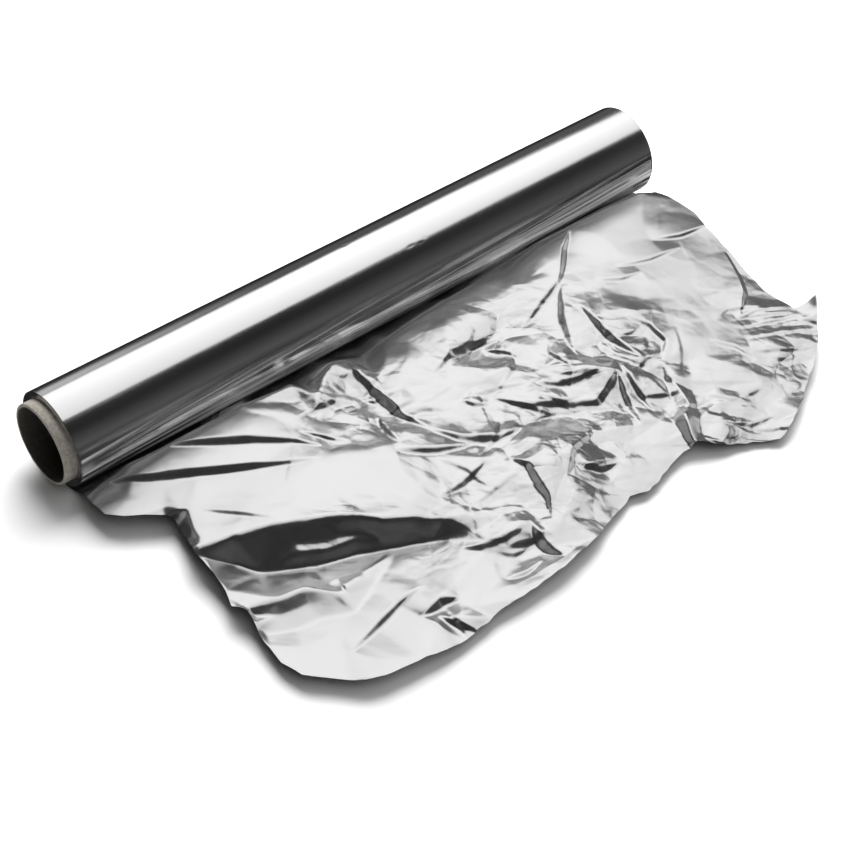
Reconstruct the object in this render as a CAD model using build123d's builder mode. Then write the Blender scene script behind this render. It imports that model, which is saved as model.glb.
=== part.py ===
"""Household roll of aluminium foil, lying on its side with a length pulled out in front of it.

Frame: millimetres, +Z up. The origin is on the roll's axis, halfway along the width of the foil.
X runs along the axis. The pulled-out length spreads over the floor towards -Y.
The floor is one roll radius below the axis.
"""

import os
from math import cos, hypot, pi, sqrt

from build123d import *

os.makedirs("parts", exist_ok=True)

# ---- Driving dimensions -------------------------------------------------------------------

foil_width = 300.0  # the web's full width, which is the length of the wound roll
roll_diameter = 40.0  # over the wound turns
core_diameter = 34.0  # outside of the paperboard tube
core_wall = 1.5
core_stand_out = 5.0  # how far the tube stands out of the turns at the -X end
winding_clearance = 0.1  # between the tube and the first turn, on the radius

pulled_length = 165.0  # from the roll's axis to the middle of the front edge, in plan
side_draw_in = 7.0  # how far crumpling draws each free side edge in
sheet_thickness = 0.5  # stands in for a web of about 0.015
sheet_clearance = 0.3  # between the turns and the place where the sheet leaves them
floor_clearance = 0.2  # under the flats between the folds
lift_off_length = 30.0  # over which the folds rise from nothing, starting at the roll
corner_curl_height = 22.0  # how far the corner at +X curls up
corner_curl_reach = 62.0  # how far from that corner the curl begins

# Each fold of the sheet is a rounded ridge along a straight crest. A crest has two ends, and
# each end has a place across the width (-1 to 1), a place along the pulled length (0 at the
# roll's axis, 1 at the front edge) and a height. The last number is the half width of its foot.
sheet_folds = [
    ((-1.00, 0.42, 16.0), (-0.45, 0.54, 13.0), 27.0),  # plateau behind the big step, left
    ((-0.45, 0.54, 13.0), (0.00, 0.74, 9.0), 24.0),  # the same crest, falling to the middle
    ((-1.00, 0.84, 18.0), (-0.35, 0.92, 11.0), 26.0),  # lobe at the front left corner
    ((-0.35, 0.24, 11.0), (0.20, 0.60, 13.0), 22.0),  # ridge that runs out from the roll
    ((0.20, 0.60, 13.0), (0.42, 0.76, 15.0), 20.0),
    ((0.10, 0.20, 11.0), (0.55, 0.36, 10.0), 24.0),  # the rear of the right half
    ((0.55, 0.36, 10.0), (1.00, 0.50, 9.0), 30.0),
    ((0.55, 0.90, 9.0), (0.80, 0.78, 10.0), 22.0),  # in front of the curled corner
]

# The front edge: places across the width (-1 to 1), and how far the sheet reaches there as a
# share of the pulled length.
front_edge = [
    (-1.00, 0.90),
    (-0.70, 1.03),
    (-0.33, 1.01),
    (-0.03, 0.95),
    (0.26, 0.94),
    (0.52, 1.01),
    (0.75, 0.95),
    (1.00, 0.81),
]

section_count = 49  # sections across the width that the sheet is lofted through
points_per_section = 25

# ---- Values worked out from them ------------------------------------------------------------

roll_radius = roll_diameter / 2
core_radius = core_diameter / 2
core_bore_radius = core_radius - core_wall
core_length = foil_width + core_stand_out
half_width = foil_width / 2
floor_z = -roll_radius

# The sheet lies flat on the floor where it leaves the turns, in the wedge of space below them
# that is just high enough for its thickness and its clearance.
sheet_rear_y = -sqrt(roll_radius**2 - (roll_radius - sheet_thickness - sheet_clearance) ** 2)


def smooth_step(value):
    """0 below 0, 1 above 1, and a smooth rise between."""
    share = min(max(value, 0.0), 1.0)
    return share * share * (3 - 2 * share)


def front_reach(place):
    """How far the front edge is from the roll's axis at a place across the width, -1 to 1."""
    for (place_0, share_0), (place_1, share_1) in zip(front_edge, front_edge[1:]):
        if place <= place_1:
            blend = smooth_step((place - place_0) / (place_1 - place_0))
            return pulled_length * (share_0 + blend * (share_1 - share_0))
    return pulled_length * front_edge[-1][1]


def fold_height(x, y, fold):
    """Height of one fold: its crest's height there, times a raised cosine of the distance to it."""
    (x_share_0, y_share_0, height_0), (x_share_1, y_share_1, height_1), half_foot = fold
    start_x, start_y = x_share_0 * half_width, -y_share_0 * pulled_length
    run_x = x_share_1 * half_width - start_x
    run_y = -y_share_1 * pulled_length - start_y
    along = ((x - start_x) * run_x + (y - start_y) * run_y) / (run_x**2 + run_y**2)
    along = min(max(along, 0.0), 1.0)
    distance = hypot(x - start_x - along * run_x, y - start_y - along * run_y)
    crest = height_0 + along * (height_1 - height_0)
    return crest * cos(pi / 2 * min(distance / half_foot, 1.0)) ** 2


def sheet_height(x, y):
    """Underside of the sheet above the floor: its folds, blended as a cubic mean, and the curl."""
    folds = sum(fold_height(x, y, fold) ** 3 for fold in sheet_folds) ** (1 / 3)
    from_corner = hypot(x - half_width, y + pulled_length)
    curl = corner_curl_height * max(0.0, 1 - from_corner / corner_curl_reach) ** 2
    lift = smooth_step((sheet_rear_y - y) / lift_off_length)
    return lift * (floor_clearance + folds + curl)


# ---- Paperboard core --------------------------------------------------------------------------

with BuildPart() as core_tube:
    with BuildSketch(Plane.YZ.offset(-half_width - core_stand_out)):
        Circle(core_radius)
        Circle(core_bore_radius, mode=Mode.SUBTRACT)
    extrude(amount=core_length)
core_tube.part.label = "core_tube"

# ---- Wound turns of foil, as one solid ----------------------------------------------------------

with BuildPart() as foil_roll:
    with BuildSketch(Plane.YZ.offset(-half_width)):
        Circle(roll_radius)
        Circle(core_radius + winding_clearance, mode=Mode.SUBTRACT)
    extrude(amount=foil_width)
foil_roll.part.label = "foil_roll"

# ---- Pulled-out length of foil --------------------------------------------------------------------

# Every section stands upright on a straight line over the floor, from the roll to the front
# edge. The lines draw together towards the front, which brings the side edges in.
with BuildPart() as foil_sheet:
    for section in range(section_count):
        place = -1 + 2 * section / (section_count - 1)
        rear = Vector(place * half_width, sheet_rear_y, floor_z)
        front = Vector(place * (half_width - side_draw_in), -front_reach(place), floor_z)
        reach = (front - rear).length
        outward = (front - rear).normalized()
        under = []
        for point in range(points_per_section):
            distance = reach * point / (points_per_section - 1)
            spot = rear + outward * distance
            under.append((distance, sheet_height(spot.X, spot.Y)))
        over = [(distance, height + sheet_thickness) for distance, height in under]
        upright = Plane(origin=rear, x_dir=outward, z_dir=outward.cross(Vector(0, 0, 1)))
        with BuildSketch(upright):
            with BuildLine():
                Spline(*under)
                Line(under[-1], over[-1])
                Spline(*reversed(over))
                Line(over[0], under[0])
            make_face()
    loft(ruled=True)
foil_sheet.part.label = "foil_sheet"

# ---- Files ------------------------------------------------------------------------------------------

for piece in (core_tube, foil_roll, foil_sheet):
    export_step(piece.part, f"parts/{piece.part.label}.step")
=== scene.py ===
# %% [markdown]
# # A household roll of aluminium foil
#
# This lesson finishes a roll of kitchen foil that lies on its side, with a crumpled length pulled
# out in front of it. The frame comes from the CAD model: the roll's axis is the X axis, the floor
# is one roll radius below it, and the loose length spreads towards -Y. Three pieces are made here:
# the paperboard core, the wound turns and the pulled-out sheet. Each stands in for a plainer CAD
# solid. The sizes of the core and the turns are read from those solids' boxes, and the sheet's
# outline is listed over its own.

import bpy
import numpy as np
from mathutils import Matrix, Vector
from mathutils.geometry import delaunay_2d_cdt


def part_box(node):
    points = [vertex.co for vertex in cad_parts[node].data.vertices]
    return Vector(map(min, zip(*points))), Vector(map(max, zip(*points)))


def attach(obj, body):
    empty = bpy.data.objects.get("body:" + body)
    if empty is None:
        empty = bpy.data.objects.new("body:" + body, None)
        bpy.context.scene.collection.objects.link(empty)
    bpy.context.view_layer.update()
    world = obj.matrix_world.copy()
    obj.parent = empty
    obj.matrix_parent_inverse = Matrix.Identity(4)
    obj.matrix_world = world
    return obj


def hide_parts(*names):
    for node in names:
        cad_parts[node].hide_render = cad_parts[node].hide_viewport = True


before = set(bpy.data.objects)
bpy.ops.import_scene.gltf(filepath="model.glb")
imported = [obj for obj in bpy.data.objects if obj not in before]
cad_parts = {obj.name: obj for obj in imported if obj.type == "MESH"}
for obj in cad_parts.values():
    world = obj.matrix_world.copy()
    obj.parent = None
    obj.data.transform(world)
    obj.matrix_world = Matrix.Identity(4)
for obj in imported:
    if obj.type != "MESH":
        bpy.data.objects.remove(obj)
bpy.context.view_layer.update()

# Lengths are in millimetres and are multiplied by this once. A shader's are in metres already,
# because the Object coordinates that it reads are.
MM = 0.001

core_low, core_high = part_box("core_tube")
turns_low, turns_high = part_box("foil_roll")

roll_radius = (turns_high.z - turns_low.z) / 2 / MM
core_radius = (core_high.z - core_low.z) / 2 / MM
foil_half_width = (turns_high.x - turns_low.x) / 2 / MM
core_wall = 1.5
core_bore = core_radius - core_wall
floor_z = -roll_radius
print(f"turns {2 * foil_half_width:.1f} x {2 * roll_radius:.1f} mm, core {2 * core_radius:.1f} mm across")

# %% [markdown]
# ## Helpers for meshes
#
# Foil, core and sheet could be modelled by hand in the viewport, but a surface that is worked out
# is easier to change. Each one here is a grid: a whole array of points with a row index and a
# column index. One helper turns such a grid into a mesh, and another adds it to the scene.

# %% Grid to mesh


def grid_mesh(name, points, close_rows=False, close_columns=False):
    """A mesh from a (rows, columns, 3) array: each cell of the grid is one quad.

    close_rows joins the last row to the first, and close_columns the last column to the first.
    """
    rows, columns = points.shape[:2]
    row = np.arange(rows if close_rows else rows - 1)
    column = np.arange(columns if close_columns else columns - 1)
    r0, c0 = np.meshgrid(row, column, indexing="ij")
    r1, c1 = (r0 + 1) % rows, (c0 + 1) % columns
    corners = [r0 * columns + c0, r0 * columns + c1, r1 * columns + c1, r1 * columns + c0]
    faces = np.stack(corners, axis=-1).reshape(-1, 4)
    mesh = bpy.data.meshes.new(name)
    mesh.vertices.add(rows * columns)
    mesh.vertices.foreach_set("co", (points * MM).astype(np.float32).ravel())
    mesh.loops.add(faces.size)
    mesh.loops.foreach_set("vertex_index", faces.astype(np.int32).ravel())
    mesh.polygons.add(len(faces))
    mesh.polygons.foreach_set("loop_start", np.arange(0, faces.size, 4, dtype=np.int32))
    mesh.polygons.foreach_set("use_smooth", np.ones(len(faces), dtype=bool))
    mesh.update(calc_edges=True)
    mesh.validate()
    return mesh


# %% Mesh to piece


def add_piece(name, mesh, material):
    """A new object at the origin that holds the mesh and one material."""
    piece = bpy.data.objects.new(name, mesh)
    bpy.context.scene.collection.objects.link(piece)
    mesh.materials.append(material)
    print(f"{name}: {len(mesh.polygons)} faces")
    return piece


# %% [markdown]
# ## Helpers for shader nodes
#
# A finish is a small network of nodes. Setting one up takes the same few lines every time: make the
# node, fill in its fixed values, link what feeds it. These helpers take up that repetition, so that
# each material further down reads as the list of what it does to the light.

# %% Shader nodes


def add_node(tree, kind, settings=(), **inputs):
    """A shader node of one kind, with its settings and the inputs that have a fixed value.

    An input's name is written with underscores in place of its spaces.
    """
    made = tree.nodes.new("ShaderNode" + kind)
    for name, value in dict(settings).items():
        setattr(made, name, value)
    for name, value in inputs.items():
        made.inputs[name.replace("_", " ")].default_value = value
    return made


def map_range(tree, value, low, high, to_low, to_high, interpolation="LINEAR"):
    """The output that carries low..high to to_low..to_high and stays at the ends outside it."""
    made = add_node(tree, "MapRange", From_Min=low, From_Max=high, To_Min=to_low, To_Max=to_high)
    made.interpolation_type = interpolation
    tree.links.new(value, made.inputs["Value"])
    return made.outputs["Result"]


def combine(tree, operation, first, second):
    """The output that is the ADD or the MULTIPLY of two others."""
    made = add_node(tree, "Math", {"operation": operation})
    tree.links.new(first, made.inputs[0])
    tree.links.new(second, made.inputs[1])
    return made.outputs["Value"]


def noise(tree, vector, scale, detail=2.0):
    """A noise texture that is read at the given vector."""
    made = add_node(tree, "TexNoise", Scale=scale, Detail=detail)
    tree.links.new(vector, made.inputs["Vector"])
    return made


def mapped(tree, vector, **inputs):
    """The vector turned or scaled by a mapping node."""
    made = add_node(tree, "Mapping", **inputs)
    tree.links.new(vector, made.inputs["Vector"])
    return made.outputs["Vector"]


def two_colours(tree, value, dark, pale, start=0.0, stop=1.0):
    """A colour that goes from dark at start to pale at stop."""
    made = add_node(tree, "ValToRGB")
    first, last = made.color_ramp.elements
    first.position, first.color = start, (*dark, 1)
    last.position, last.color = stop, (*pale, 1)
    tree.links.new(value, made.inputs["Fac"])
    return made.outputs["Color"]


# %% [markdown]
# ## Camera
#
# A long lens from well above the roll's left end shows the open core, the bright length of the roll
# and the whole sheet at once. The three numbers of the place and the lens belong together: moving
# closer with a shorter lens would make the near end of the roll look too big.

# %% Camera
camera_azimuth, camera_elevation = np.radians(-40.3), np.radians(42.0)
back = Vector(
    (
        np.sin(camera_azimuth) * np.cos(camera_elevation),
        -np.cos(camera_azimuth) * np.cos(camera_elevation),
        np.sin(camera_elevation),
    )
)
camera = bpy.data.objects.new("camera", bpy.data.cameras.new("camera"))
bpy.context.scene.collection.objects.link(camera)
camera.location = Vector((-390.1, -500.4, 490.7)) * MM
camera.rotation_mode = "QUATERNION"
camera.rotation_quaternion = (-back).to_track_quat("-Z", "Y")
camera.data.sensor_width = 36.0
camera.data.lens = 81.8
camera.data.clip_start = 0.01
camera.data.clip_end = 20.0
bpy.context.scene.camera = camera
bpy.context.scene.view_settings.view_transform = "Standard"
print("camera at", [round(value, 3) for value in camera.location])

# %% [markdown]
# ## Lights
#
# Foil has no colour of its own: it shows its surroundings. So the lights are planned by what each
# part of the foil reflects. One big soft panel behind and above gives the white band on the roll and
# the white of every facet that lies nearly flat. Two more lights are there for what is matt, above all
# the paper underneath: one from behind for a clean white, and one from the front for the light inside
# the shadows. Those two are hidden from the foil's reflections, because a second band on the roll
# would look like a second lamp.

# %% Soft panel and floor lights
panel_brightest = (0.55, 0.62, 0.7)  # in metres: about where the camera sees the panel in flat foil


def area_light(name, low, high, height, radiance, seen_in_foil):
    """A flat soft light facing down over the rectangle from low to high, of a given radiance."""
    low, high = np.array(low), np.array(high)
    size = (high - low) * MM
    lamp = bpy.data.lights.new(name, "AREA")
    lamp.shape = "RECTANGLE"
    lamp.size, lamp.size_y = size
    lamp.energy = float(radiance * np.pi * size[0] * size[1])
    light = bpy.data.objects.new(name, lamp)
    bpy.context.scene.collection.objects.link(light)
    centre = (low + high) / 2 * MM
    light.location = (centre[0], centre[1], height * MM)
    light.visible_glossy = seen_in_foil
    light.visible_camera = False
    return light


def fade_from_middle(light):
    """The lamp dims with the distance from its brightest point, as a softbox does to its rim."""
    light.data.use_nodes = True
    tree = light.data.node_tree
    place = add_node(tree, "NewGeometry")
    distance = add_node(tree, "VectorMath", {"operation": "DISTANCE"})
    distance.inputs[1].default_value = panel_brightest
    tree.links.new(place.outputs["Position"], distance.inputs[0])
    strength = map_range(tree, distance.outputs["Value"], 0.2, 0.9, 1.08, 0.72)
    tree.links.new(strength, tree.nodes["Emission"].inputs["Strength"])


fade_from_middle(area_light("soft_panel", (-60.0, -290.0), (960.0, 1180.0), 700.0, 1.1, True))
area_light("floor_fill", (0.0, 0.0), (1300.0, 1600.0), 900.0, 8.0, False)
area_light("floor_bounce", (-500.0, -1500.0), (700.0, -300.0), 800.0, 1.2, False)

# %% [markdown]
# ## Surroundings
#
# Everything else that the foil reflects is the room. An even grey would make the folds look painted
# on, so the room is darkest overhead, a little paler near the horizon and dark again below it. A few
# soft patches lie where only a viewer at the side or in front would see them in the foil. The camera
# itself sees a plain pale backdrop.

# %% Room
room_grey = 0.035
world = bpy.data.worlds.new("surroundings")
bpy.context.scene.world = world
world.use_nodes = True
room = world.node_tree
room.nodes.clear()
output = add_node(room, "OutputWorld")
pale = add_node(room, "Background", Color=(0.93, 0.93, 0.93, 1))
dark = add_node(room, "Background", Color=(room_grey, room_grey, room_grey, 1))
chooser = add_node(room, "MixShader")
path = add_node(room, "LightPath")
heading = add_node(room, "TexCoord").outputs["Generated"]
heading_parts = add_node(room, "SeparateXYZ")
room.links.new(heading, heading_parts.inputs["Vector"])
upward = heading_parts.outputs["Z"]

wall = map_range(room, upward, 0.05, 0.6, 2.4, 0.5)
ground = map_range(room, upward, -0.15, 0.05, 0.2, 1.0)
grey = combine(room, "MULTIPLY", wall, ground)

# %% Soft patches
patches = [  # direction, cosine at the patch's rim, cosine where it is full, radiance
    ((-0.62, 0.68, 0.30), 0.90, 0.97, 0.25),
    ((0.94, -0.18, 0.30), 0.93, 0.98, 0.6),
    ((0.10, 0.95, 0.30), 0.93, 0.98, 0.5),
]
glow = None
for toward, rim, full, radiance in patches:
    facing = add_node(room, "VectorMath", {"operation": "DOT_PRODUCT"})
    facing.inputs[1].default_value = Vector(toward).normalized()
    room.links.new(heading, facing.inputs[0])
    cosine = facing.outputs["Value"]
    patch_glow = map_range(room, cosine, rim, full, 0.0, radiance / room_grey, "SMOOTHSTEP")
    glow = patch_glow if glow is None else combine(room, "ADD", glow, patch_glow)
seen_in_foil = combine(room, "MULTIPLY", glow, path.outputs["Is Glossy Ray"])
room.links.new(combine(room, "ADD", seen_in_foil, grey), dark.inputs["Strength"])
room.links.new(path.outputs["Is Camera Ray"], chooser.inputs["Fac"])
room.links.new(dark.outputs[0], chooser.inputs[1])
room.links.new(pale.outputs[0], chooser.inputs[2])
room.links.new(chooser.outputs[0], output.inputs["Surface"])
print(len(room.nodes), "nodes in the room")

# %% [markdown]
# ## Floor
#
# The roll lies on plain pale paper. It is only the stage, and it is kept out of the foil's reflections:
# a white floor mirrored in the roll would wash out its dark band.

# %% Floor


def floor_material():
    """Pale matt paper with a very faint mottling."""
    material = bpy.data.materials.new("pale_floor")
    material.use_nodes = True
    tree = material.node_tree
    shader = tree.nodes["Principled BSDF"]
    shader.inputs["Roughness"].default_value = 0.9
    shader.inputs["Specular IOR Level"].default_value = 0.1
    where = add_node(tree, "TexCoord").outputs["Object"]
    mottle = noise(tree, where, 3.0).outputs["Fac"]
    colour = two_colours(tree, mottle, (0.86, 0.86, 0.86), (0.89, 0.89, 0.89))
    tree.links.new(colour, shader.inputs["Base Color"])
    return material


reach = 3000.0
floor_rows = [[(-reach, y, floor_z), (reach, y, floor_z)] for y in (-reach, reach)]
floor = add_piece("floor", grid_mesh("floor", np.array(floor_rows)), floor_material())
floor.visible_glossy = False

# %% [markdown]
# ## Paperboard core
#
# The core is a tube of grey board, wound from strips, so a shallow seam winds along it. It is made by
# carrying a closed profile round the X axis: outside, small bevelled lip, inside, lip again. A Screw
# modifier would do the same, but the profile as an array lets a ripple be added to every point. The
# finish is fibre noise in the colour and the bump. In the bore the colour is painted nearly black:
# painted shade, for the little light that gets in there.

# %% Turning a profile


def turned(name, profile, angles, ripple):
    """Carries a closed (x, radius) profile round the X axis and adds ripple(x, angle) to the radius."""
    angle, x = np.meshgrid(angles, profile[:, 0], indexing="ij")
    radius = profile[None, :, 1] + ripple(x, angle)
    points = np.stack([x, -radius * np.sin(angle), radius * np.cos(angle)], axis=-1)
    return grid_mesh(name, points, close_rows=True, close_columns=True)


def full_circle(steps):
    """Evenly spaced angles round a circle, without the last one, which would repeat the first."""
    return np.linspace(0, 2 * np.pi, steps, endpoint=False)


# %% Board


def board_material():
    """Grey-brown paperboard: one fibre noise gives colour and bump; the bore has painted shade."""
    material = bpy.data.materials.new("paperboard")
    material.use_nodes = True
    tree = material.node_tree
    shader = tree.nodes["Principled BSDF"]
    shader.inputs["Roughness"].default_value = 0.85
    shader.inputs["Specular IOR Level"].default_value = 0.25
    where = add_node(tree, "TexCoord").outputs["Object"]
    fibre = noise(tree, where, 700.0, 6.0).outputs["Fac"]
    board = two_colours(tree, fibre, (0.25, 0.232, 0.2), (0.40, 0.375, 0.335), 0.3, 0.72)
    across = add_node(tree, "VectorMath", {"operation": "MULTIPLY"})
    across.inputs[1].default_value = (0, 1, 1)
    tree.links.new(where, across.inputs[0])
    radius = add_node(tree, "VectorMath", {"operation": "LENGTH"})
    tree.links.new(across.outputs["Vector"], radius.inputs[0])
    # Painted shade: the bore is coloured nearly black, for the little light that gets in.
    near, far = (core_bore + 0.15) * MM, (core_bore + 0.5) * MM
    painted_bore_shade = map_range(tree, radius.outputs["Value"], near, far, 0.14, 1.0)
    colour = add_node(tree, "Mix", {"data_type": "RGBA"}, A=(0.026, 0.02, 0.017, 1))
    tree.links.new(painted_bore_shade, colour.inputs["Factor"])
    tree.links.new(board, colour.inputs["B"])
    tree.links.new(colour.outputs["Result"], shader.inputs["Base Color"])
    bump = add_node(tree, "Bump", Strength=0.5, Distance=0.0001)
    tree.links.new(fibre, bump.inputs["Height"])
    tree.links.new(bump.outputs["Normal"], shader.inputs["Normal"])
    return material


# %% Core
core_x0, core_x1 = core_low.x / MM, core_high.x / MM
lip = 0.35
stations = np.linspace(core_x0 + lip, core_x1 - lip, 120)
core_profile = np.concatenate(
    [
        np.stack([stations, np.full_like(stations, core_radius)], axis=1),
        [[core_x1, core_radius - lip], [core_x1, core_bore + lip]],
        np.stack([stations[::-1], np.full_like(stations, core_bore)], axis=1),
        [[core_x0, core_bore + lip], [core_x0, core_radius - lip]],
    ]
)
seam_pitch, seam_width, seam_depth = 70.0, 0.8, 0.12


def spiral_seam(x, angle):
    """A shallow groove that winds along the tube: a bell shape across the line of the seam."""
    phase = (x / seam_pitch - angle / (2 * np.pi)) % 1.0
    return -seam_depth * np.exp(-(((phase - 0.5) * seam_pitch / seam_width) ** 2))


core_mesh = turned("core", core_profile, full_circle(160), spiral_seam)
core = add_piece("core_board_tube", core_mesh, board_material())
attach(core, "root")
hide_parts("core_tube")

# %% [markdown]
# ## Foil finish
#
# Rolled foil is a metal with a roughness that wanders a little from place to place, and with very
# fine lines in the rolling direction. Both the roll and the sheet start from that base. It is a
# plain metal shader: a clear coat or a tint would make it look like plastic film.

# %% Foil base


def foil_base(name, roughness, shine, grain):
    """Bright rolled aluminium. Returns the material, its tree, shader, colour, place and last bump."""
    material = bpy.data.materials.new(name)
    material.use_nodes = True
    tree = material.node_tree
    shader = tree.nodes["Principled BSDF"]
    shader.inputs["Metallic"].default_value = 1.0
    where = add_node(tree, "TexCoord").outputs["Object"]
    wander = noise(tree, where, 22.0, 4.0).outputs["Fac"]
    dull = (0.90 * shine, 0.90 * shine, 0.905 * shine)
    bright = (0.955 * shine, 0.955 * shine, 0.95 * shine)
    colour = two_colours(tree, wander, dull, bright)
    tree.links.new(colour, shader.inputs["Base Color"])
    rough = map_range(tree, wander, 0.0, 1.0, roughness * 0.75, roughness * 1.3)
    tree.links.new(rough, shader.inputs["Roughness"])
    rolling = noise(tree, mapped(tree, where, Scale=(1.0, 0.03, 0.03)), 900.0).outputs["Fac"]
    bump = add_node(tree, "Bump", Strength=grain, Distance=0.00002)
    tree.links.new(rolling, bump.inputs["Height"])
    tree.links.new(bump.outputs["Normal"], shader.inputs["Normal"])
    return material, tree, shader, colour, where, bump


# %% [markdown]
# ## Finish of the wound turns
#
# Where the web is pulled off the roll, the outermost turn is drawn into fine creases that run nearly
# along the roll. They show as bright threads low on the front. As geometry they would need a grid far
# finer than the rest of the roll, so they are a bump and, on their crests, a share of scattered
# light. A slanted and stretched noise gives the threads, and three ranges keep them to the lower
# front and off the cut ends.

# %% Turns' finish


def turns_material():
    """Bright foil with lengthwise waves, and light-scattering threads low on the front."""
    material, tree, shader, _, where, bump = foil_base("bright_foil", 0.16, 1.0, 0.3)
    parts = add_node(tree, "SeparateXYZ")
    tree.links.new(where, parts.inputs["Vector"])
    waves = noise(tree, mapped(tree, where, Scale=(0.02, 1.0, 1.0)), 330.0, 3.0).outputs["Fac"]
    soft = add_node(tree, "Bump", Distance=0.0007)
    strength = map_range(tree, parts.outputs["Z"], 0.009, -0.004, 0.05, 1.0)
    tree.links.new(strength, soft.inputs["Strength"])
    tree.links.new(waves, soft.inputs["Height"])
    tree.links.new(soft.outputs["Normal"], bump.inputs["Normal"])
    slanted = mapped(tree, where, Rotation=(0.0, np.radians(3.0), 0.0))
    threads = noise(tree, mapped(tree, slanted, Scale=(0.012, 1.0, 1.0)), 620.0, 3.0).outputs["Fac"]
    crests = map_range(tree, threads, 0.44, 0.64, 0.0, 1.0)
    # They fade in downwards from 7.5 to 0.5 mm above the axis, and forwards from 8 to 14 mm off it.
    low = map_range(tree, parts.outputs["Z"], 0.0075, 0.0005, 0.0, 1.0)
    front = map_range(tree, parts.outputs["Y"], -0.008, -0.014, 0.0, 1.0)
    end_distance = add_node(tree, "Math", {"operation": "ABSOLUTE"})
    tree.links.new(parts.outputs["X"], end_distance.inputs[0])
    end, clear = (foil_half_width - 0.2) * MM, (foil_half_width - 1.0) * MM
    off_ends = map_range(tree, end_distance.outputs["Value"], end, clear, 0.0, 1.0)
    share = combine(tree, "MULTIPLY", combine(tree, "MULTIPLY", crests, low), front)
    scatter = add_node(tree, "BsdfDiffuse", Color=(0.9, 0.9, 0.9, 1))
    both = add_node(tree, "MixShader")
    tree.links.new(combine(tree, "MULTIPLY", off_ends, share), both.inputs["Fac"])
    tree.links.new(shader.outputs["BSDF"], both.inputs[1])
    tree.links.new(scatter.outputs["BSDF"], both.inputs[2])
    tree.links.new(both.outputs["Shader"], tree.nodes["Material Output"].inputs["Surface"])
    return material


# %% [markdown]
# ## Wound turns
#
# Some two hundred turns of web make up the 3 mm of winding. They are one piece here, because no turn
# is seen by itself except at the ends. The outside is a cylinder with waves of a few hundredths of a
# millimetre and a few small dents, which is what makes the edges of a reflected band waver. The ends
# are rings at slightly different depths, because a web is never wound with its edges quite in line.

# %% Turns
rng = np.random.default_rng(7)
winding_gap = 0.1
turns_inner = core_radius + winding_gap
half = foil_half_width
edge_radii = np.linspace(roll_radius, turns_inner, 30)
every_other = np.where(np.arange(edge_radii.size) % 2, 1, 0.2)
edge_depth = 0.25 * rng.random(edge_radii.size) * every_other
edge_depth[0] = 0.0
rim = 0.15
outer_x = np.concatenate([[-half + rim], np.linspace(-half, half, 290)[1:-1], [half - rim]])
turns_profile = np.concatenate(
    [
        np.stack([outer_x, np.full_like(outer_x, roll_radius)], axis=1),
        np.stack([half - edge_depth, edge_radii], axis=1),
        np.stack([-half + edge_depth[::-1], edge_radii[::-1]], axis=1),
    ]
)
dents = [  # place along the roll, angle from the top towards the front, length, width, depth
    (17, 35, 1.8, 0.7, 0.06),
    (22, 37, 1.4, 0.6, 0.06),
    (24.5, 33, 1.0, 1.0, 0.05),
    (-6, -9, 1.4, 0.7, 0.07),
    (-14, 29, 1.5, 0.7, 0.06),
    (93, -17, 2.0, 0.8, 0.07),
    (-65, 88, 2.5, 1.2, 0.1),
    (-48, 12, 1.0, 0.8, 0.05),
]


def turn_ripple(x, angle):
    """Three crossing waves in the outermost turns, less a bell-shaped hollow at each dent."""
    waves = 0.018 * np.sin(x / 23.0 + 2 * angle) + 0.012 * np.sin(x / 9.0 - 3 * angle + 1.0)
    waves += 0.006 * np.sin(x / 3.7 + 5 * angle)
    for dent_x, dent_angle, long, wide, deep in dents:
        turn = (angle - np.radians(dent_angle) + np.pi) % (2 * np.pi) - np.pi
        waves -= deep * np.exp(-(((x - dent_x) / long) ** 2) - (turn * roll_radius / wide) ** 2)
    return waves * (np.abs(x) < half - 0.5)


turns_mesh = turned("turns", turns_profile, full_circle(280), turn_ripple)
turns = add_piece("wound_foil_turns", turns_mesh, turns_material())
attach(turns, "root")
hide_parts("foil_roll")

# %% [markdown]
# ## Pulled-out sheet: outline
#
# The sheet is thin metal that has been pulled off the roll, crumpled and spread out again. Cloth
# simulation would round its folds like fabric, and foil doesn't do that: it makes flat facets that
# meet in sharp creases and stay as they are. So the sheet is a grid over the floor plan with a height
# at every point, built in three layers: facets between named points, single folds, and small
# crumples. First come its free edges, as lists of places and heights. They are made a little ragged,
# and the front edge the most, because that is where the foil was torn.

# %% Free edges
left_edge = [
    (-150, -5, 0.1), (-150, -10, 0.8), (-150, -15, 3), (-151, -21.5, 7.2), (-151.5, -29, 8.5),
    (-151.5, -36.5, 9), (-147, -42, 9.3), (-140.4, -46.7, 9.5), (-134.5, -51.5, 9),
    (-132.4, -53.8, 5), (-135.1, -63.6, 7), (-139, -76, 12.2), (-138, -80, 10), (-138, -86, 9),
    (-140, -96, 8), (-143, -104, 9), (-140, -109, 10), (-141, -115, 7), (-143, -123, 6),
    (-144, -134, 6), (-142, -143, 6), (-135, -151, 6),
]
front_edge = [
    (-135, -151, 6), (-131, -155, 6), (-127, -159, 7), (-121, -162, 7), (-110, -164, 7),
    (-97, -166, 6), (-90, -166, 5), (-76, -165, 5), (-63, -164, 6), (-49, -164, 7), (-33, -164, 8),
    (-18, -161, 7), (-5, -156, 5), (7, -152, 4), (15, -154, 4), (28, -151, 5), (39, -149, 6),
    (46, -150, 6), (53, -155, 3), (64, -160, 3), (74, -166, 4), (84, -165, 7), (96.4, -158.3, 6.5),
    (112, -149.2, 7), (124, -141.7, 8), (137.5, -129, 10), (143.6, -122.7, 14),
]
right_edge = [
    (150.5, -5, 0.1), (151, -14, 2), (151, -22, 8), (150, -32, 11), (150, -47, 11), (146, -59, 11),
    (142, -75, 10), (139, -87, 9), (134.7, -102.2, 9), (134.5, -113, 8.5), (134.7, -119.5, 8.6),
    (140, -121.5, 10.5), (143.6, -122.7, 14),
]


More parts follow.
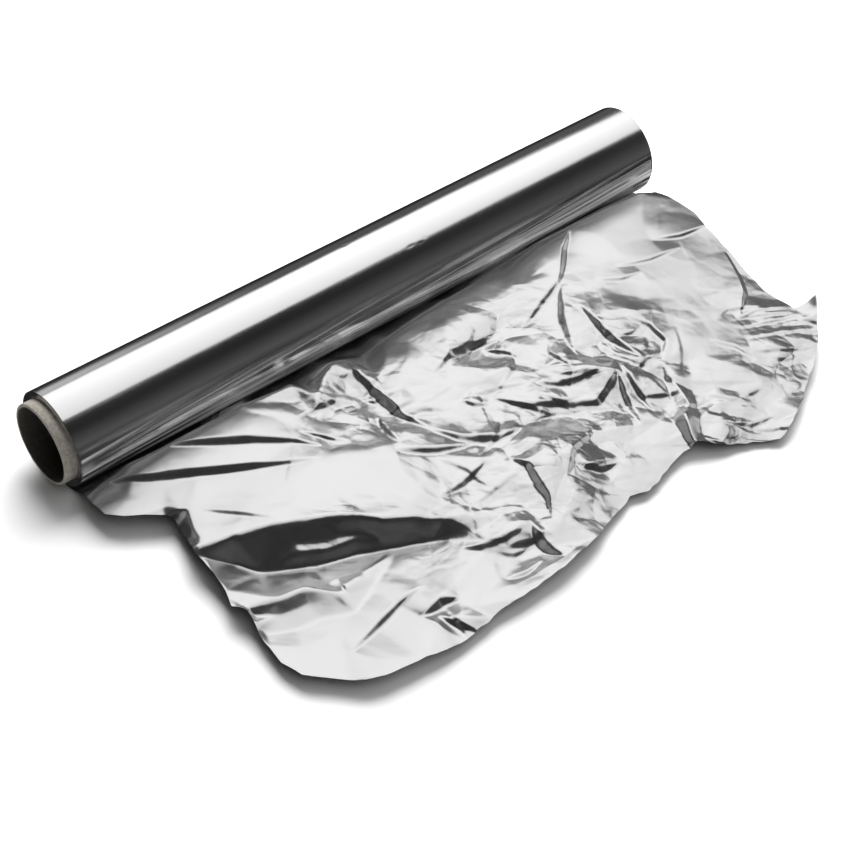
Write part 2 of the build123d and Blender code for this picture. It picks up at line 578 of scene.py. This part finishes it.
def along(points, shares):
    """Points at given shares of a polyline's length."""
    points = np.asarray(points, dtype=float)
    steps = np.linalg.norm(np.diff(points[:, :2], axis=0), axis=1)
    places = np.concatenate([[0], np.cumsum(steps)]) / steps.sum()
    return np.stack([np.interp(shares, places, points[:, i]) for i in range(points.shape[1])], axis=-1)


def ragged(edge, every, amount, seed):
    """The same edge with small random offsets, straight between points that lie `every` apart."""
    chance = np.random.default_rng(seed)
    length = np.linalg.norm(np.diff(edge[:, :2], axis=0), axis=1).sum()
    knots = np.linspace(0, 1, int(length / every) + 2)
    offsets = chance.uniform(-1, 1, (knots.size, 3)) * amount
    offsets[[0, -1]] = 0
    shares = np.linspace(0, 1, len(edge))
    return edge + np.stack([np.interp(shares, knots, offsets[:, i]) for i in range(3)], axis=-1)


across, down = 430, 225
left = ragged(along(left_edge, np.linspace(0, 1, down)), 7.0, (0.35, 0.2, 0.1), 1)
right = ragged(along(right_edge, np.linspace(0, 1, down)), 7.0, (0.4, 0.3, 0.1), 2)
front = along(front_edge, np.linspace(0, 1, across))
front = ragged(ragged(front, 9.0, (0.2, 0.9, 0.2), 3), 3.5, (0.1, 0.4, 0.1), 4)
rear = along([left_edge[0], right_edge[0]], np.linspace(0, 1, across))
print(f"front edge: {np.ptp(front[:, 0]):.0f} mm wide, {front[:, 1].min():.0f} mm at its furthest")

# %% [markdown]
# A grid between four edges that aren't straight is a Coons patch: each point is blended once from
# the left and right edges and once from the rear and front edges, and what was counted twice is
# taken off again. It keeps the cells nearly even, so no part of the sheet is coarser than the rest.

# %% Grid between the edges


def patch(left, right, rear, front):
    """A Coons patch: the blend of two pairs of edges, less the blend of their corners."""
    v = np.linspace(0, 1, len(left))[:, None, None]
    u = np.linspace(0, 1, len(rear))[None, :, None]
    sides = (1 - u) * left[:, None] + u * right[:, None]
    ends = (1 - v) * rear[None] + v * front[None]
    corners = (1 - v) * ((1 - u) * rear[0] + u * rear[-1]) + v * ((1 - u) * front[0] + u * front[-1])
    return sides + ends - corners


plan = patch(left[:, :2], right[:, :2], rear[:, :2], front[:, :2])
edge_heights = patch(left, right, rear, front)[..., 2]
x, y = plan[..., 0], plan[..., 1]
print("sheet grid:", plan.shape[:2])

# %% [markdown]
# ## Pulled-out sheet: facets
#
# The big shape is a set of named lines with a height at each point: where the sheet rises beside the
# roll, the flat part at the left, the tall step in front of it, the dome at the right. The points are
# joined into triangles, which are the facets. The step and the notch must not be bridged by a
# triangle that crosses them, so their lines are handed over as creases that every triangle respects.
# A small blur afterwards gives the creases the bend radius of thin metal.

# %% Named lines
fold_lines = {
    "left_foot": [
        (-142, -16, 2), (-141, -12, 2), (-122, -15, 2), (-94, -15, 2), (-66, -16, 2),
    ],
    "left_rise": [
        (-141, -20, 8.3), (-130, -21, 11), (-116, -23, 12), (-100, -24, 13), (-80, -24, 13.5),
        (-57, -25, 12),
    ],
    "left_plateau": [
        (-139, -34, 9.5), (-127, -40, 10.7), (-115, -44, 12), (-95, -56, 12.5), (-76, -68, 12),
        (-107, -67, 12.6), (-83, -83, 12.2), (-138, -74, 12.8),
    ],
    "notch": [
        (-133.1, -47.9, 10), (-130.3, -53.7, 11), (-128.7, -56.6, 11.6), (-132.3, -65, 12),
        (-134.8, -73.6, 12.6),
    ],
    "big_step_crest": [
        (-138, -76, 12.8), (-124, -79.8, 13), (-110.7, -83.8, 13), (-97.7, -90.8, 13),
        (-84.7, -98.8, 13), (-77.7, -106.8, 12), (-64.6, -113.5, 9.5), (-54.9, -119.7, 7.5),
        (-45, -124.5, 7), (-39, -131, 6.5),
    ],
    "step_ridge": [
        (-107.5, -93, 6.8), (-98, -98.6, 5.6), (-87.5, -101.5, 6.4), (-80, -107.0, 4.6),
    ],
    "step_ridge_front": [
        (-106.5, -96.6, 6.5), (-96.5, -102.0, 5.3), (-86, -104.6, 6.0), (-78.8, -109.6, 4.3),
    ],
    "big_step_foot": [
        (-137, -79, 10), (-127, -84, 3), (-121, -91.7, 0.5), (-105.9, -100.7, 0.5),
        (-90.9, -105.7, 0.5), (-74.9, -113.7, 0.5), (-61.3, -121.1, 1.5), (-52, -128, 4.5),
    ],
    "flap_crest": [
        (-139, -108, 8.5), (-127, -111, 8), (-117, -112, 7), (-108, -120, 5),
    ],
    "flap_foot": [
        (-139, -111, 6.2), (-131, -115.5, 5), (-120, -117, 4), (-110, -124, 3.5), (-140, -119, 5),
        (-130, -123, 3.2), (-119, -124, 2.6), (-108, -130, 2.6),
    ],
    "lobe": [
        (-133, -132, 4.5), (-119, -134, 3.6), (-83, -146, 5), (-88, -153, 6), (-77, -156, 5),
        (-81, -161, 6), (-48, -150, 5), (-32, -155, 6),
    ],
    "left_pyramid": [
        (-52, -18, 5), (-37, -19, 8), (-36, -25, 12), (-58, -34, 10), (-52, -36, 12.5),
        (-60, -48, 10.5), (-49, -44, 9), (-57, -60, 10), (-46, -60, 9.5),
    ],
    "centre_rear": [
        (-30, -14, 3.5), (0, -14, 3.5), (30, -14, 3.5), (-20, -24, 6), (-6, -24, 8.3),
        (10, -23, 9.6), (28, -22, 10), (46, -21, 10), (-20, -52, 8), (5, -46, 9), (30, -38, 9.5),
        (50, -32, 9.6),
    ],
    "centre_valley": [
        (-38, -47, 8.5), (-36, -66, 8.5), (-31, -80, 8), (-18, -92, 7.5), (-26, -44, 8.5),
        (-26, -62, 8), (-20, -77, 7.5), (-8, -90, 8),
    ],
    "centre": [
        (10, -62, 8.5), (40, -57, 9), (25, -80, 8.5), (5, -85, 8.5), (-40, -90, 9.5),
        (-20, -105, 9), (10, -108, 8.5), (-57, -104, 10), (40, -82, 9.5),
    ],
    "crossing": [
        (33, -106, 9), (43, -102, 11.5), (44, -120, 8), (55, -96, 10),
    ],
    "right_rear": [
        (62, -18, 9), (80, -19.5, 12), (98, -20.5, 13), (120, -20.5, 13), (140, -22, 12.6),
        (70, -41, 12), (99, -45, 12.4), (125, -41, 12.2), (111, -58, 11.9), (130, -64, 11.3),
        (108, -91, 10.2), (95, -80, 11), (79, -84, 11.6), (76, -64, 12), (56, -65, 11),
    ],
    "deep_fold": [
        (74, -96, 11.4), (81, -98, 11), (67, -109, 10.5), (66, -127, 5), (59, -137, 3.5),
        (51, -146, 3), (55, -129, 9), (47, -143, 8), (58, -108, 9),
    ],
    "right_dome": [
        (113, -105, 8.8), (97, -118, 8.6), (80, -110, 9.6), (113, -124, 8), (93, -136, 7.6),
        (116, -134, 7.6), (106, -146, 6.8), (84, -151, 6.5), (72, -147, 5), (71, -137, 5),
        (80, -160, 5),
    ],
    "centre_front": [
        (-50, -138, 5.5), (-30, -127, 7), (-22, -140, 6.5), (-12, -125, 8.5), (-5, -138, 7),
        (8, -125, 8.5), (25, -122, 8), (12, -143, 6), (30, -138, 7), (-48, -150, 6),
        (-32, -155, 6.5),
    ],
}
crease_names = ("notch", "big_step_crest", "big_step_foot", "step_ridge", "step_ridge_front")
print(sum(len(line) for line in fold_lines.values()), "named points")

# %% Facets


def facet_heights(plan, spots, outside=0.0, creases=()):
    """Joins the spots into triangles and reads each grid point's height off its own triangle."""
    places = [Vector(spot[:2]) for spot in spots]
    result = delaunay_2d_cdt(places, list(creases), [], 0, 0.01)
    corners = np.array([vertex[:] for vertex in result[0]])
    heights = np.array([spots[owners[0], 2] for owners in result[3]])
    x, y = plan[..., 0].ravel(), plan[..., 1].ravel()
    order = np.argsort(x)
    xs, ys = x[order], y[order]
    z = (np.zeros_like(plan[..., 0]) + outside).ravel()
    for face in result[2]:
        a, b, c = corners[face]
        area = (b[0] - a[0]) * (c[1] - a[1]) - (b[1] - a[1]) * (c[0] - a[0])
        first, last = np.searchsorted(xs, [corners[face, 0].min(), corners[face, 0].max()])
        px, py = xs[first:last], ys[first:last]
        share_b = ((px - a[0]) * (c[1] - a[1]) - (py - a[1]) * (c[0] - a[0])) / area
        share_c = ((b[0] - a[0]) * (py - a[1]) - (b[1] - a[1]) * (px - a[0])) / area
        inside = (share_b >= -1e-6) & (share_c >= -1e-6) & (share_b + share_c <= 1 + 1e-6)
        value = heights[face[0]] * (1 - share_b - share_c)
        value = value + heights[face[1]] * share_b + heights[face[2]] * share_c
        z[order[first:last][inside]] = value[inside]
    return z.reshape(plan.shape[:2])


def blurred(heights, passes):
    """Each pass makes a height half of itself and a quarter of each neighbour, along each grid axis."""
    for _ in range(passes):
        wide = np.pad(heights, 1, mode="edge")
        heights = (wide[:-2, 1:-1] + 2 * wide[1:-1, 1:-1] + wide[2:, 1:-1]) / 4
        wide = np.pad(heights, 1, mode="edge")
        heights = (wide[1:-1, :-2] + 2 * wide[1:-1, 1:-1] + wide[1:-1, 2:]) / 4
    return heights


edge_spots = [left[::4], front[::4], right[::4], rear[::40]]
spots, creases = list(edge_spots), []
for name, line in fold_lines.items():
    if name in crease_names:
        first = sum(len(earlier) for earlier in spots)
        creases += [(first + i, first + i + 1) for i in range(len(line) - 1)]
    spots.append(np.asarray(line, dtype=float))
height = blurred(facet_heights(plan, np.concatenate(spots), edge_heights, creases), 2)
print(f"facets: {height.min():.1f} to {height.max():.1f} mm above the floor")

# %% [markdown]
# ## Pulled-out sheet: single folds
#
# The folds that catch the eye are long and narrow: a steep face a few millimetres wide that turns
# away from the light, with the sheet easing up to it on one side and away from it on the other. Each
# is given by the line it follows, the width of its steep face and how far it drops. The easing is
# shallow, because a steep one would shine as a white rim beside every fold.

# %% Folds
streaks = [
    ([(-116, -23), (-106, -29), (-90, -40), (-75, -51), (-68, -60)], 2.7, 2.0),
    ([(-143, -21), (-128, -32), (-109, -44), (-93, -54), (-74, -66)], 2.7, 1.5),
    ([(-125, -59), (-115, -71), (-107, -82)], 0.9, 0.6),
    ([(-30, -24), (-30, -39), (-30, -51), (-31, -65), (-29, -78)], 2.9, 2.3),
    ([(-29, -78), (-23, -88), (-13, -97), (-1, -100)], 2.8, 1.4),
    ([(-39, -58), (-41, -67), (-44, -77)], 2.6, 2.1),
    ([(-70, -49), (-65, -55), (-59, -63)], 1.2, 1.1),
    ([(-48, -80), (-35, -88), (-21, -94)], 2.4, 1.2),
    ([(-51, -109), (-36, -107), (-24, -105)], 2.0, 1.6),
    ([(-8, -72), (-6, -77), (-1, -81)], 1.2, 1.2),
    ([(2, -79), (8, -89), (12, -96), (17, -102)], 1.5, 1.5),
    ([(-7, -54), (7, -48), (22, -50), (32, -50)], 1.8, 1.2),
    ([(39, -55), (55, -49), (72, -44)], 1.8, 1.2),
    ([(42, -68), (37, -75), (36, -89)], 1.3, 1.1),
    ([(20, -85), (31, -93), (44, -98)], 2.4, 1.2),
    ([(17, -91), (23, -101), (32, -107), (49, -102)], 2.3, 1.8),
    ([(49, -101), (43, -115), (37, -128)], 2.3, 1.8),
    ([(53, -98), (50, -111), (46, -126)], 2.2, 1.3),
    ([(0, -128), (7, -135), (16, -137)], 2.0, 1.6),
    ([(-17, -110), (-14, -118), (-19, -135), (-26, -144)], 2.6, 2.1),
    ([(-60, -131), (-54, -136), (-45, -139), (-37, -140)], 2.2, 1.7),
    ([(-52, -141), (-47, -146), (-40, -147)], 1.4, 1.1),
    ([(-33, -140), (-35, -151), (-35, -160)], 3.2, 1.6),
    ([(-58, -154), (-50, -156), (-41, -155)], 1.3, 1.1),
    ([(69, -47), (55, -65), (43, -84)], 2.8, 2.0),
    ([(120, -50), (133, -55), (147, -57)], 1.5, 1.2),
    ([(95, -54), (110, -59), (127, -61)], 1.1, 0.9),
    ([(82, -55), (91, -61), (101, -63)], 1.0, 0.9),
    ([(68, -47), (86, -30), (98, -22)], 2.2, 1.9),
    ([(114, -108), (126, -99), (133, -89), (140, -75)], 1.4, 1.6),
    ([(65, -62), (62, -84), (62, -102)], 2.6, 2.2),
    ([(74, -80), (79, -90), (78, -101), (68, -108)], 1.8, 1.2),
    ([(66, -110), (62, -122), (58, -133), (51, -137), (42, -153)], 4.7, 4.2),
    ([(63, -148), (71, -154), (81, -157)], 1.2, 1.1),
    ([(-103, -114), (-105, -122)], 0.9, 0.8),
    ([(-122, -145), (-107, -140), (-95, -137), (-83, -137)], 2.0, 1.6),
    ([(-93, -148), (-83, -146), (-77, -150)], 3.2, 1.6),
    ([(-88, -152), (-85, -160), (-82, -167)], 1.4, 1.5),
    ([(104, -104), (112, -102), (125, -110)], 0.9, 0.8),
    ([(108, -108), (121, -110), (135, -118)], 0.9, 0.8),
    ([(107, -113), (118, -117), (133, -124)], 0.9, 0.8),
    ([(106, -120), (117, -126), (130, -133)], 0.8, 0.7),
    ([(101, -127), (111, -134), (122, -141)], 0.8, 0.7),
    ([(112, -108), (121, -113), (132, -121)], 0.9, 0.9),
    ([(92, -111), (98, -120), (99, -131)], 1.0, 0.8),
]


def streak_fold(plan, line, face, drop):
    """A low fold along a line: a gentle rise behind it and a steep face, narrow at both ends.

    The steep face lies on the right of the direction of travel and is face wide and drop high.
    Half of the drop is a rise on one side, and half a hollow on the other.
    """
    x, y = plan[..., 0], plan[..., 1]
    points = np.asarray(line, dtype=float)
    steps = np.diff(points, axis=0)
    lengths = np.hypot(steps[:, 0], steps[:, 1])
    before = np.concatenate([[0], np.cumsum(lengths)])
    nearest = np.full(x.shape, np.inf)
    offset = np.zeros_like(x)
    share = np.zeros_like(x)
    for start, step, length, done in zip(points, steps, lengths, before):
        s = ((x - start[0]) * step[0] + (y - start[1]) * step[1]) / length
        d = ((y - start[1]) * step[0] - (x - start[0]) * step[1]) / length
        t = np.clip(s, 0, length)
        far = np.hypot(s - t, d)
        better = far < nearest
        nearest = np.where(better, far, nearest)
        offset = np.where(better, np.where(d < 0, -far, far), offset)
        share = np.where(better, (done + t) / before[-1], share)
    taper = np.clip(np.sin(np.pi * share), 0, 1) ** 0.8 + 1e-6
    easing = 12.0 * drop * np.sqrt(taper) + 2.0
    middle = -face * taper / 2
    behind = np.clip(1 - offset / easing, 0, 1)
    ahead = -np.clip(1 + (offset - 2 * middle) / easing, 0, 1)
    steep = 1 - 2 * np.clip(offset / (2 * middle), 0, 1)
    side = np.where(offset > 0, behind, np.where(offset < 2 * middle, ahead, steep))
    return drop / 2 * taper * side


least_slope = 0.85  # a face less steep than this would still reflect the soft panel
folds = np.zeros_like(height)
for line, face, drop in streaks:
    folds += streak_fold(plan, line, face, max(drop, least_slope * face))
print(len(streaks), "folds")

# %% [markdown]
# ## Pulled-out sheet: crumples
#
# Between the named folds the sheet is covered with small facets and short folds that nobody would
# place by hand. They are random, from a fixed seed: facets in three sizes, then the short folds. They
# aren't spread evenly: the middle and the front were squeezed hardest, and two stretches beside the
# roll stayed smooth. Two weights, one for busy places and one for calm ones, say how much there is of
# them at each point.

# %% Where the sheet is crumpled
busy_spots = [  # place in x and y, and how far the spot reaches each way
    (5, -115, 48, 32),
    (-45, -48, 26, 26),
    (48, -100, 30, 34),
    (118, -135, 30, 28),
    (-22, -140, 26, 16),
    (60, -145, 30, 18),
    (30, -60, 40, 24),
]
calm_spots = [(-105, -52, 42, 26), (112, -52, 34, 34), (-112, -145, 26, 20), (100, -110, 18, 14)]
step_spots = [(-95, -98, 30, 11), (-60, -122, 22, 10)]


def spot_weight(spots):
    """One bell-shaped weight around each named spot, and the largest of them at every point."""
    bells = [np.exp(-(((x - sx) / rx) ** 2) - ((y - sy) / ry) ** 2) for sx, sy, rx, ry in spots]
    return np.max(bells, axis=0)


busy, calm = spot_weight(busy_spots), spot_weight(calm_spots)
weight = np.clip(0.10 + busy, 0, 1) * (1 - 0.85 * calm)
print(f"crumpled: {np.mean(weight > 0.5):.0%} of the sheet")

# %% Crumples
rng = np.random.default_rng(21)


def crumple_facets(spacing, lift):
    """Flat triangles between scattered spots, each spot raised or lowered at random by up to lift."""
    nx, ny = int(330 / spacing), int(190 / spacing)
    gx, gy = np.meshgrid(np.linspace(-165, 165, nx), np.linspace(-180, 5, ny))
    spots = np.stack([gx, gy, np.zeros_like(gx)], axis=-1).reshape(-1, 3)
    spots[:, :2] += rng.uniform(-0.45, 0.45, (len(spots), 2)) * spacing
    spots[:, 2] = rng.uniform(-lift, lift, len(spots))
    return facet_heights(plan, spots)


def short_fold():
    """One fold at a random place, mostly lying across the sheet, 8 to 32 mm long."""
    cx, cy = rng.uniform(-140, 140), rng.uniform(-160, -20)
    turn = rng.normal(-0.5, 0.8)
    length = 4.0 * 4.0 ** rng.random()
    way = np.array([np.cos(turn), np.sin(turn)]) * length
    bend = np.array([-way[1], way[0]]) * rng.uniform(-0.25, 0.25)
    middle = np.array([cx, cy])
    face = rng.uniform(0.8, 1.0) * 0.12 * length + 0.5
    drop = face * rng.uniform(0.4, 1.0)
    return streak_fold(plan, [middle - way, middle + bend, middle + way], face, drop)


facet_sizes = [(24.0, 2.2), (12.0, 1.3), (5.0, 0.2)]  # spacing of the spots, and most lift
fold_count = 80
crumples = sum(crumple_facets(spacing, lift) for spacing, lift in facet_sizes)
small_folds = sum(short_fold() for _ in range(fold_count))
print(f"crumples: {np.ptp(weight * (crumples + small_folds)):.1f} mm from lowest to highest")

# %% [markdown]
# ## Pulled-out sheet: height
#
# The three layers are added. Folds and crumples fade out towards the roll, where the web is still
# held flat. Then two limits apply: the sheet stays above the floor, and it stays outside the turns,
# whose underside is a circle that the sheet would otherwise run into.

# %% Height
fade = np.clip((-y - 8) / 20, 0, 1)
height = height + fade * (folds + weight * (crumples + small_folds))
clear_of_turns, clear_of_floor = 0.15, 0.08
clear_radius = roll_radius + clear_of_turns
under_turns = roll_radius - np.sqrt(np.clip(clear_radius**2 - y**2, 0, None))
height = np.where(-y < clear_radius, np.minimum(height, under_turns), height)
height = np.maximum(height, clear_of_floor)
sheet_points = np.concatenate([plan, (floor_z + height)[..., None]], axis=-1)
sheet_mesh = grid_mesh("sheet", sheet_points[::-1])
crumple_share = np.clip(0.12 + 0.9 * busy + 0.6 * spot_weight(step_spots), 0, 1) * (1 - 0.75 * calm)
layer = sheet_mesh.attributes.new("crumple", "FLOAT", "POINT")
layer.data.foreach_set("value", crumple_share[::-1].astype(np.float32).ravel())
print(f"sheet: {height.min():.2f} to {height.max():.1f} mm above the floor")

# %% [markdown]
# ## Finish of the sheet
#
# The sheet shows the dull side of the foil: the same metal, but with a hazy second reflection around
# the sharp one. Creases too fine for the grid are a bump made of cell edges, in two sizes. The cells
# are bent a little by a slow noise, or they would look like cracked mud, and the weight that was
# stored with the mesh keeps them to the crumpled places.

# %% Sheet's finish


def sheet_material():
    """Dull foil with a wide haze, and fine creases where the sheet is crumpled."""
    material, tree, shader, colour, where, bump = foil_base("dull_side_foil", 0.22, 0.9, 0.2)
    haze = add_node(tree, "BsdfAnisotropic", {"distribution": "GGX"}, Roughness=0.62)
    both = add_node(tree, "MixShader", Fac=0.2)
    tree.links.new(colour, haze.inputs["Color"])
    tree.links.new(bump.outputs["Normal"], haze.inputs["Normal"])
    tree.links.new(shader.outputs["BSDF"], both.inputs[1])
    tree.links.new(haze.outputs["BSDF"], both.inputs[2])
    tree.links.new(both.outputs["Shader"], tree.nodes["Material Output"].inputs["Surface"])
    bent = add_node(tree, "VectorMath", {"operation": "MULTIPLY_ADD"})
    bent.inputs[1].default_value = (0.012, 0.012, 0.012)
    tree.links.new(noise(tree, where, 32.0, 0.0).outputs["Color"], bent.inputs[0])
    tree.links.new(where, bent.inputs[2])
    crumpled = add_node(tree, "Attribute", {"attribute_name": "crumple"})
    last = bump
    for scale, depth in ((60.0, 0.0017), (170.0, 0.0003)):
        cells = add_node(tree, "TexVoronoi", {"feature": "DISTANCE_TO_EDGE"}, Scale=scale)
        creased = add_node(tree, "Bump", Distance=depth)
        tree.links.new(bent.outputs["Vector"], cells.inputs["Vector"])
        tree.links.new(cells.outputs["Distance"], creased.inputs["Height"])
        tree.links.new(crumpled.outputs["Fac"], creased.inputs["Strength"])
        tree.links.new(creased.outputs["Normal"], last.inputs["Normal"])
        last = creased
    return material


# %% Sheet
sheet = add_piece("pulled_foil_sheet", sheet_mesh, sheet_material())
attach(sheet, "root")
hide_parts("foil_sheet")
